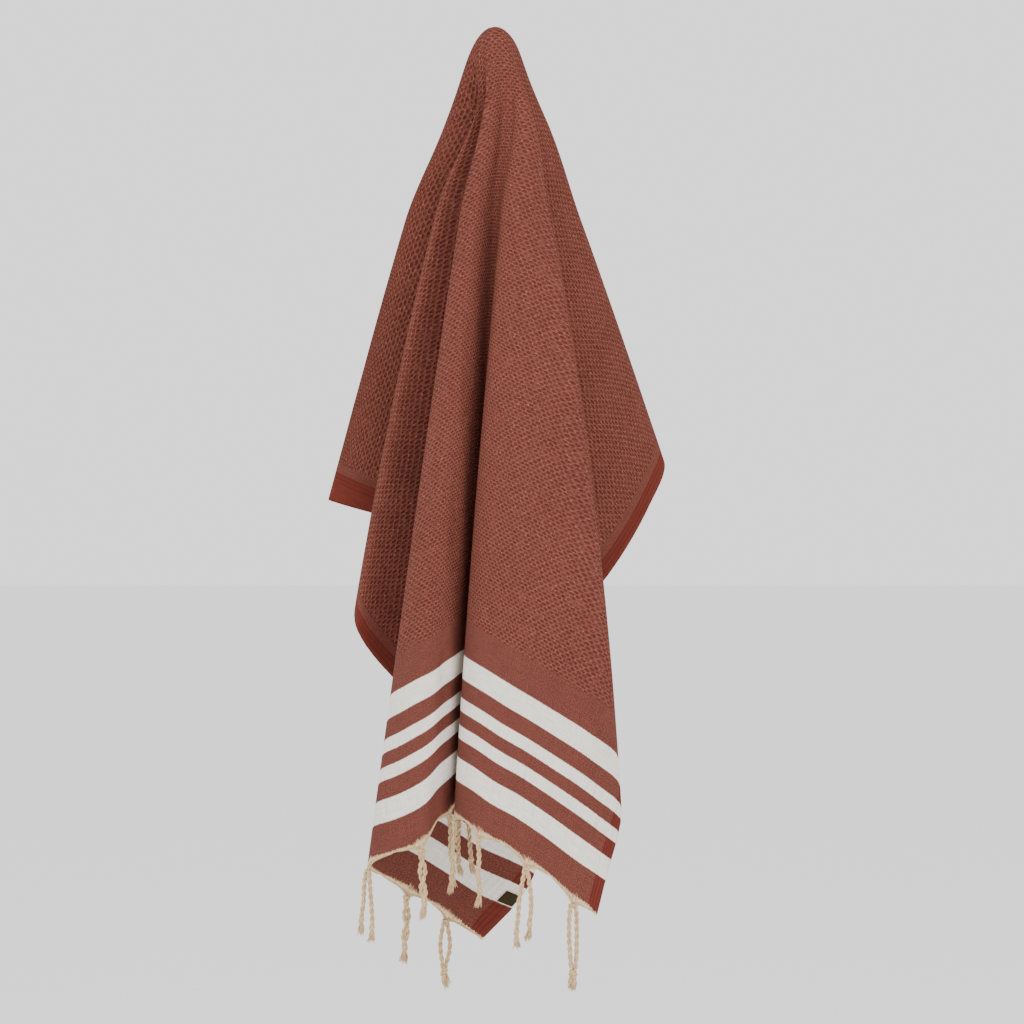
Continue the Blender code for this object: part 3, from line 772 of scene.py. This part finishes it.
def fringe(name, cords, reach, end, lean_size):
    """All the bare warp and cords of one hem, in one mesh."""
    builder = bmesh.new()
    along_map = builder.loops.layers.uv.new("strand")
    bare_warp(builder, along_map, cords, reach, end)
    for place, lengths, middle, apart, sway in cords:
        beside = hang([place - CORD_HEM_STEP, place, place + CORD_HEM_STEP],
                      np.full(3, end * (reach + HEM_DRAWN_DOWN + KNOT_BELOW_HEM - CORD_ABOVE_KNOT)))
        root = beside[1]
        along = (beside[2] - beside[0]) * (1.0, 1.0, 0.0)
        along = along / np.linalg.norm(along)
        outward = np.array([along[1], -along[0], 0.0])
        outward *= 1.0 if np.dot(outward, root) > 0 else -1.0
        for number, length in enumerate(lengths):
            way = 0.0 if len(lengths) == 1 else (-1.0 if number == 0 else 1.0)
            winding = PAIR_TURNS if 0 < middle <= WOUND_WITHIN else 0.0
            aside = along + (math.copysign(PAIR_SIDEWAYS, along[0]), 0.0, 0.0)
            aside = aside / np.linalg.norm(aside) * way
            line = cord_line(root, length - TUFT_LENGTH - KNOT_LENGTH, aside, middle / 2, apart / 2,
                             sway, outward * lean_size, winding)
            for ply in twisted(line, random.uniform(0, 6)):
                strand(builder, along_map, ply, PLY_RADIUS, 8)
            foot = line[-1] - (0.0, 0.0, KNOT_BELOW_CORD)
            end_knot(builder, along_map, foot)
            tuft(builder, along_map, foot - (0.0, 0.0, TUFT_BELOW_KNOT), TUFT_LENGTH)
        coil(builder, along_map, root + (0.0, 0.0, HEM_KNOT_TOP), HEM_KNOT, 24)
    bmesh.ops.recalc_face_normals(builder, faces=builder.faces)
    made = as_object(name, builder)
    made.data.materials.append(cord_look)
    return made


cord_look, nodes, shader = new_material("cream_cotton_cord")
strands = nodes.add("ShaderNodeUVMap", uv_map="strand").outputs["UV"]
apart = nodes.add("ShaderNodeSeparateXYZ")
nodes.plug(apart.inputs[0], strands)
# Fibres wind round each yarn once in about 7 mm; their winding is in radians per metre.
winding = nodes.math("ADD", nodes.math("MULTIPLY", apart.outputs[0], FIBRE_WINDING),
                     nodes.math("MULTIPLY", apart.outputs[1], 6 * math.pi))
fibres = nodes.math("MULTIPLY_ADD", nodes.math("SINE", winding), 0.5, 0.5)
where = nodes.add("ShaderNodeTexCoord").outputs["Object"]
mottle = nodes.noise(where, 260.0, 3.0)
tone = nodes.math("ADD", nodes.math("MULTIPLY", fibres, 0.30), nodes.math("MULTIPLY", mottle, 0.9))
nodes.plug(shader.inputs["Base Color"], nodes.mix(nodes.step(tone, 0.25, 0.95), CORD_SHADE, CORD_LIGHT))
nodes.bump(shader, tone, 0.6, FIBRE_RELIEF)
shader.inputs["Roughness"].default_value = 0.9
shader.inputs["Specular IOR Level"].default_value = 0.15
shader.inputs["Sheen Weight"].default_value = 0.2

front_fringe = fringe("fringe_front_cords", FRONT_CORDS, REACH_FRONT, 1, 0.0)
rear_fringe = fringe("fringe_rear_cords", REAR_CORDS, REACH_REAR, -1, REAR_LEAN)
for piece, node in ((front_fringe, "fringe_front"), (rear_fringe, "fringe_rear")):
    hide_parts(node)
    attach(piece, "root")


# ---------------------------------------------------------------------- label
# A plain woven tape folded into a small square, sewn to the left selvedge near the
# front hem, on the face that looks forward where that corner hangs.
LABEL_SIDE = 0.0125
LABEL_THICKNESS = 0.0008
LABEL_FROM_HEM = 0.038
LABEL_CLEARANCE = 0.0003
LABEL_CELLS = 10
LABEL_INSET = 0.0015
LABEL_CROWN = 0.0006
LABEL_SOFT_EDGE = 0.0002
TAPE_DARK = (0.026, 0.019, 0.007)
TAPE_LIGHT = (0.050, 0.037, 0.014)
TAPE_RIBS = 190.0
TAPE_PICKS = 150.0
TAPE_RELIEF = 0.0001
# The cloth's slope is taken so far up and down, and so many radians to both sides.
NORMAL_STEP = 0.002
NORMAL_TURN = 0.004


def cloth_normals(u, v):
    """Outward normals of the cloth at flat places."""
    u, v = np.asarray(u), np.asarray(v)
    step = NORMAL_STEP / np.hypot(u, v)
    down = hang(u * (1 + step), v * (1 + step)) - hang(u * (1 - step), v * (1 - step))
    cosine, sine = math.cos(NORMAL_TURN), math.sin(NORMAL_TURN)
    sideways = (hang(u * cosine + v * sine, v * cosine - u * sine)
                - hang(u * cosine - v * sine, v * cosine + u * sine))
    outward = np.cross(down, sideways)
    return outward / np.linalg.norm(outward, axis=1)[:, None]


label_mesh = bmesh.new()
bmesh.ops.create_grid(label_mesh, x_segments=LABEL_CELLS, y_segments=LABEL_CELLS, size=0.5)
tape_map = label_mesh.loops.layers.uv.new("tape")
tape = np.array([vert.co for vert in label_mesh.verts])
tape_u = -REACH_LEFT + LABEL_INSET + LABEL_SIDE * (tape[:, 0] + 0.5)
tape_v = REACH_FRONT - LABEL_FROM_HEM - LABEL_SIDE * (tape[:, 1] + 0.5)
rounded = LABEL_CROWN * (1 - (2 * np.abs(tape[:, :2]).max(axis=1))**6)
lift = CLOTH_THICKNESS / 2 + LABEL_CLEARANCE + LABEL_THICKNESS / 2 + rounded
tape_places = hang(tape_u, tape_v) - cloth_normals(tape_u, tape_v) * lift[:, None]
for vert, place, flat_place in zip(label_mesh.verts, tape_places, tape):
    vert.co = place
    for loop in vert.link_loops:
        loop[tape_map].uv = flat_place[:2] + 0.5
bmesh.ops.recalc_face_normals(label_mesh, faces=label_mesh.faces)
label = as_object("label_tape", label_mesh)
label.data.shade_smooth()
skin = label.modifiers.new("thickness", "SOLIDIFY")
skin.thickness = LABEL_THICKNESS
skin.offset = 0.0
soft_edge = label.modifiers.new("soft edge", "BEVEL")
soft_edge.width = LABEL_SOFT_EDGE
soft_edge.segments = 2
soft_edge.limit_method = "ANGLE"

tape_look, nodes, shader = new_material("olive_woven_tape")
tape_uv = nodes.add("ShaderNodeUVMap", uv_map="tape").outputs["UV"]
apart = nodes.add("ShaderNodeSeparateXYZ")
nodes.plug(apart.inputs[0], tape_uv)
ribs = nodes.math("SINE", nodes.math("MULTIPLY", apart.outputs[0], TAPE_RIBS))
picks = nodes.math("SINE", nodes.math("MULTIPLY", apart.outputs[1], TAPE_PICKS))
weave = nodes.math("MULTIPLY", ribs, picks)
nodes.plug(shader.inputs["Base Color"], nodes.mix(nodes.step(weave, -0.6, 0.8), TAPE_DARK, TAPE_LIGHT))
nodes.bump(shader, weave, 0.5, TAPE_RELIEF)
shader.inputs["Roughness"].default_value = 0.75
shader.inputs["Specular IOR Level"].default_value = 0.1
label.data.materials.append(tape_look)
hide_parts("label")
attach(label, "root")


# ------------------------------------------------------------- floor and light
# A pale floor well below the towel, a bright even room, and three large soft lights: the
# key in front on the right, a weaker fill on the left, and one above.
FLOOR_DOWN = 1.35
FLOOR_HALF = 40.0
floor_mesh = bmesh.new()
bmesh.ops.create_grid(floor_mesh, x_segments=1, y_segments=1, size=FLOOR_HALF)
bmesh.ops.translate(floor_mesh, verts=floor_mesh.verts, vec=(0.0, 0.0, -FLOOR_DOWN))
floor = as_object("floor", floor_mesh)
floor_look, nodes, shader = new_material("pale_floor")
shader.inputs["Base Color"].default_value = (0.96, 0.96, 0.96, 1.0)
shader.inputs["Roughness"].default_value = 0.9
floor.data.materials.append(floor_look)

AMBIENT = 1.45
BACKDROP = 1.55
world = bpy.data.worlds.new("studio")
bpy.context.scene.world = world
world.use_nodes = True
nodes = Nodes(world.node_tree)
backdrop = world.node_tree.nodes["Background"]
backdrop.inputs["Color"].default_value = (1.0, 1.0, 1.0, 1.0)
seen = nodes.add("ShaderNodeLightPath").outputs["Is Camera Ray"]
nodes.plug(backdrop.inputs["Strength"], nodes.step(seen, 0.0, 1.0, AMBIENT, BACKDROP))

TOWEL_MIDDLE = (0.0, 0.0, -0.5)
LIGHTS = (
    # name, place, size, power in watts
    ("key_softbox", (1.3, -2.6, 1.0), 1.6, 28.0),
    ("fill_softbox", (-2.4, -2.2, 0.2), 2.0, 20.0),
    ("top_softbox", (0.2, -0.6, 2.4), 1.6, 12.0),
)
for name, place, size, power in LIGHTS:
    lamp = bpy.data.lights.new(name, "AREA")
    lamp.size = size
    lamp.energy = power
    holder = bpy.data.objects.new(name, lamp)
    holder.location = place
    aim = np.array(TOWEL_MIDDLE) - np.array(place)
    level = math.hypot(aim[0], aim[1])
    holder.rotation_euler = (math.atan2(level, -aim[2]), 0.0, math.atan2(-aim[0], aim[1]))
    bpy.context.collection.objects.link(holder)


# ---------------------------------------------------------------------- camera
# It looks straight at the towel from 4 m in front, a little to the right of the hang
# point, and its picture is 1.07 m wide at the hang point's depth.
CAMERA_RIGHT = 0.0178
CAMERA_AWAY = 4.0
CAMERA_DOWN = 0.5068
PICTURE_WIDTH = 1.0701
lens = bpy.data.cameras.new("camera")
lens.sensor_width = 36.0
lens.lens = lens.sensor_width * CAMERA_AWAY / PICTURE_WIDTH
lens.clip_end = 200.0
camera = bpy.data.objects.new("camera", lens)
camera.location = (CAMERA_RIGHT, -CAMERA_AWAY, -CAMERA_DOWN)
camera.rotation_euler = (math.pi / 2, 0.0, 0.0)
bpy.context.collection.objects.link(camera)
bpy.context.scene.camera = camera
